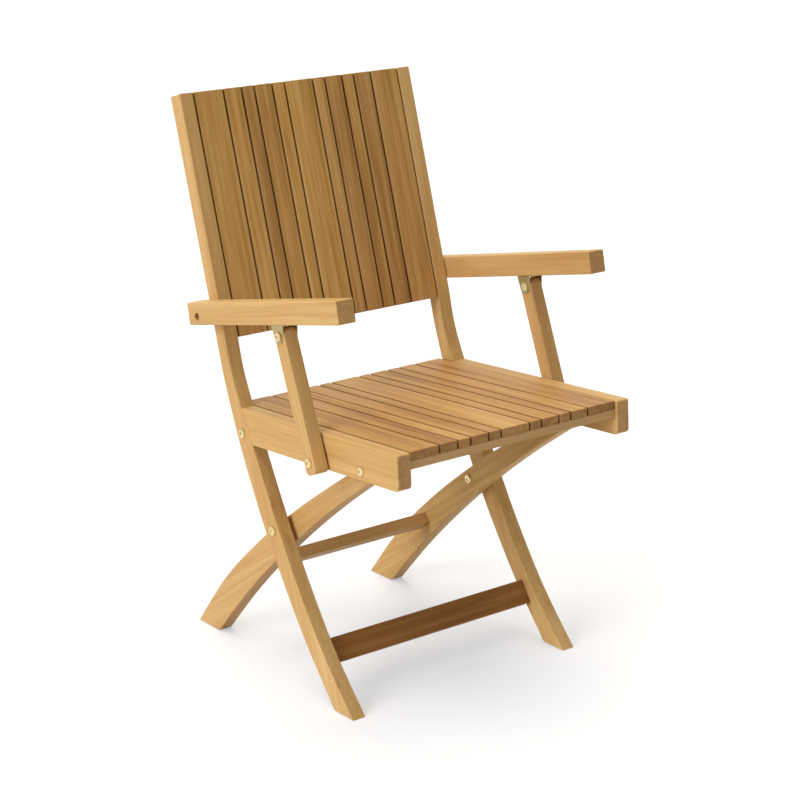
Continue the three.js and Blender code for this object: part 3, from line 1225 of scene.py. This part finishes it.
@dataclass
class Screws:
    """Small countersunk screws that hold the slats from behind and below."""

    radius: float = 3.6 * MM
    rise: float = 0.25 * MM
    top_share: float = 0.86
    steps: int = 20

    def head(self, bm: BMesh, place: Vector, out: Vector) -> None:
        """Adds one flat screw head.

        Args:
            bm: the bmesh that it is added to.
            place: its middle, on the wood's face.
            out: the direction that it faces.
        """
        turn = Vector((0, 0, 1)).rotation_difference(out).to_matrix().to_4x4()
        bmesh.ops.create_cone(
            bm, cap_ends=True, segments=self.steps, radius1=self.radius,
            radius2=self.radius * self.top_share, depth=self.rise * 2,
            matrix=Matrix.Translation(place) @ turn,
        )

    def row(self, body: str, family: str, out: Vector, places: list[Point], brass: Material) -> str:
        """Puts a screw through each slat at each rail or batten.

        Args:
            body: the body that the screws ride on.
            family: how the slats' names start, seat or back.
            out: the direction that the screws face.
            places: the places of the screws in the side view.
            brass: their material.

        Returns:
            The piece's name.
        """
        bm = bmesh.new()
        for number in range(1, SLAT_COUNT + 1):
            middle = sum(width_of(f"{family}_slat_{number:02d}")) / 2
            for place in places:
                self.head(bm, Vector((middle, *place)), out)
        obj = new_object(f"{family}_screws", bm, [brass])
        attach(obj, body)
        return obj.name

    def build(self, seat: Seat, back: Back, brass: Material) -> list[str]:
        """Makes the screws of the seat and the back.

        Args:
            seat: the seat, for its battens' places.
            back: the back, for its rails' places.
            brass: their material.

        Returns:
            The pieces' names.
        """
        half = seat.batten_width / 2
        below = [SEAT.at(start + half, seat.batten_under) for start in seat.batten_starts().values()]
        half = back.rail_height / 2
        depth = back.thickness + back.rail_thickness
        behind = [BACK.at(start + half, depth) for start in back.rail_starts().values()]
        return [
            self.row("seat", "seat", -Vector((0, *SEAT.across)), below, brass),
            self.row("frame", "back", Vector((0, *BACK.across)), behind, brass),
        ]


@dataclass(frozen=True)
class Lamp:
    """One broad lamp, far away, with its spread in degrees."""

    name: str
    strength: float
    spread: float
    comes_from: Triple
    colour: Triple

    def build(self) -> None:
        """Hangs the lamp, which no gloss shows, so that slanting faces keep their colour."""
        lamp = bpy.data.lights.new(self.name, "SUN")
        lamp.energy = self.strength
        lamp.angle = math.radians(self.spread)
        lamp.color = self.colour
        obj = bpy.data.objects.new(self.name, lamp)
        obj.visible_glossy = False
        obj.rotation_euler = Vector(self.comes_from).to_track_quat("Z", "Y").to_euler()
        bpy.context.scene.collection.objects.link(obj)


@dataclass(frozen=True)
class Studio:
    """The floor, the lights and the camera."""

    floor_size: float = 30.0
    floor_drop: float = 0.2 * MM
    floor_colour: Rgba = (0.62, 0.57, 0.5, 1.0)
    glow_colour: Rgba = (0.8, 0.9, 1.0, 1.0)
    glow: float = 0.42
    white: Rgba = (1.0, 1.0, 1.0, 1.0)
    sky: float = 0.12
    lamps: tuple[Lamp, ...] = (
        Lamp("side", 2.4, 40.0, (-0.93, -0.1, 0.37), (0.95, 1.0, 1.18)),
        Lamp("top", 2.5, 70.0, (-0.1, 0.1, 1.0), (1.0, 1.0, 1.0)),
        Lamp("rear", 1.4, 80.0, (0.62, 0.7, 0.35), (1.0, 0.98, 0.95)),
    )
    lens: float = 99.8
    sensor_width: float = 36.0
    eye: Triple = (-2.0955, -2.6792, 1.4917)
    look: Triple = (0.5881, 0.7520, -0.2974)

    def floor(self) -> None:
        """A pale floor that keeps the chair's soft shadow and can't be seen from below."""
        bm = bmesh.new()
        bmesh.ops.create_grid(bm, x_segments=1, y_segments=1, size=self.floor_size / 2)
        bmesh.ops.translate(bm, verts=bm.verts, vec=(0, 0, -self.floor_drop))
        graph = Graph(bpy.data.materials.new("floor"))
        plain = graph.output("ShaderNodeBsdfDiffuse", {}, {"Color": self.floor_colour})
        glow = graph.output("ShaderNodeEmission", {}, {"Color": self.glow_colour, "Strength": self.glow})
        lit = graph.output("ShaderNodeAddShader", {}, {0: plain, 1: glow})
        shown = graph.output("ShaderNodeMixShader", {}, {0: graph.backdrop_rays(), 1: plain, 2: lit})
        below = graph.output("ShaderNodeNewGeometry", {}, {}, "Backfacing")
        clear = graph.output("ShaderNodeBsdfTransparent", {}, {})
        one_sided = graph.output("ShaderNodeMixShader", {}, {0: below, 1: shown, 2: clear})
        graph.node("ShaderNodeOutputMaterial", {}, {"Surface": one_sided})
        new_object("floor", bm, [graph.owner])

    def lights(self) -> None:
        """A faint even sky, white where it is the background, and the lamps."""
        world = bpy.data.worlds.new("studio")
        bpy.context.scene.world = world
        graph = Graph(world)
        strength = graph.backdrop_rays().between(0.0, 1.0, self.sky, 1.0)
        sky = graph.output("ShaderNodeBackground", {}, {"Color": self.white, "Strength": strength})
        graph.node("ShaderNodeOutputWorld", {}, {"Surface": sky})
        for lamp in self.lamps:
            lamp.build()

    def camera(self) -> None:
        """A camera at the photograph's viewing angle."""
        data = bpy.data.cameras.new("camera")
        data.lens = self.lens
        data.sensor_width = self.sensor_width
        obj = bpy.data.objects.new("camera", data)
        obj.location = Vector(self.eye) + Vector((0, SIDE_SHIFT, 0))
        obj.rotation_euler = Vector(self.look).to_track_quat("-Z", "Y").to_euler()
        bpy.context.scene.collection.objects.link(obj)
        bpy.context.scene.camera = obj

    def build(self) -> None:
        """Sets the whole studio."""
        self.floor()
        self.lights()
        self.camera()
        bpy.context.scene.view_settings.view_transform = "Standard"


def dress_links(steel: Material) -> list[str]:
    """Gives the two folding links, whose shape is right as it is, their metal.

    Args:
        steel: their material.

    Returns:
        The links' names.
    """
    links = [bpy.data.objects[f"fold_link_{side.word}"] for side in Side]
    for link in links:
        for slot in link.material_slots:
            slot.material = steel
    return [link.name for link in links]


FRAME_WOOD = Teak(
    "teak frame", dark=(0.47, 0.26, 0.075), middle=(0.58, 0.35, 0.115), light=(0.66, 0.43, 0.165),
)
SLAT_WOOD = Teak(
    "teak slats", dark=(0.30, 0.14, 0.028), middle=(0.51, 0.28, 0.075), light=(0.64, 0.39, 0.13),
    gloss=0.22,
)
# A darker, redder copy of the teak for the front stretcher: painted shade, for the shade it sits in under
# the seat
SHADED_STRETCHER_WOOD = Teak(
    "teak stretcher", dark=(0.18, 0.07, 0.012), middle=(0.28, 0.12, 0.025), light=(0.36, 0.17, 0.045),
    gloss=0.2,
)
BRASS = Metal("brass", colour=(0.84, 0.68, 0.36), roughness=0.26)
# The clevises' brass: a rougher finish, and a darker colour that is painted shade
SHADED_BRASS = Metal("dull brass", colour=(0.50, 0.41, 0.20), roughness=0.4)
STEEL = Metal("steel", colour=(0.40, 0.40, 0.41), roughness=0.4)

FRONT_STRETCHER = Stretcher(
    "front_stretcher", "frame", middle_share=(-0.126, 0.08), lean=34, height=40 * MM, thickness=16 * MM,
    tone=1.0,
)
# The rear stretcher's lower tone is painted shade
REAR_STRETCHER = Stretcher(
    "rear_stretcher", "rear_legs", middle_share=(0.252, 0.157), lean=42, height=20 * MM, thickness=20 * MM,
    tone=0.86,
)


def report(names: list[str]) -> None:
    """Logs each piece that was made."""
    for name in names:
        log.info("%s made", name)


def main() -> None:
    """Builds the studio and every piece of the chair."""
    Studio().build()
    wood, slat_wood, shaded_stretcher_wood = (teak.material() for teak in (FRAME_WOOD, SLAT_WOOD, SHADED_STRETCHER_WOOD))
    brass, shaded_brass, steel = (metal.material() for metal in (BRASS, SHADED_BRASS, STEEL))
    stiles, back = Stiles(), Back()
    seat = Seat(stiles)
    report(stiles.build(wood))
    report(back.build(wood, slat_wood))
    report(seat.build(wood, slat_wood))
    report(RearLegs().build(wood))
    # The front stretcher gets the copy of the teak that is darkened with painted shade
    report(FRONT_STRETCHER.build(shaded_stretcher_wood))
    report(REAR_STRETCHER.build(wood))
    report(Arms().build(wood, shaded_brass))
    report(Bolts().build(brass))
    report(Screws().build(seat, back, brass))
    report(dress_links(steel))


if __name__ == "__main__":
    main()
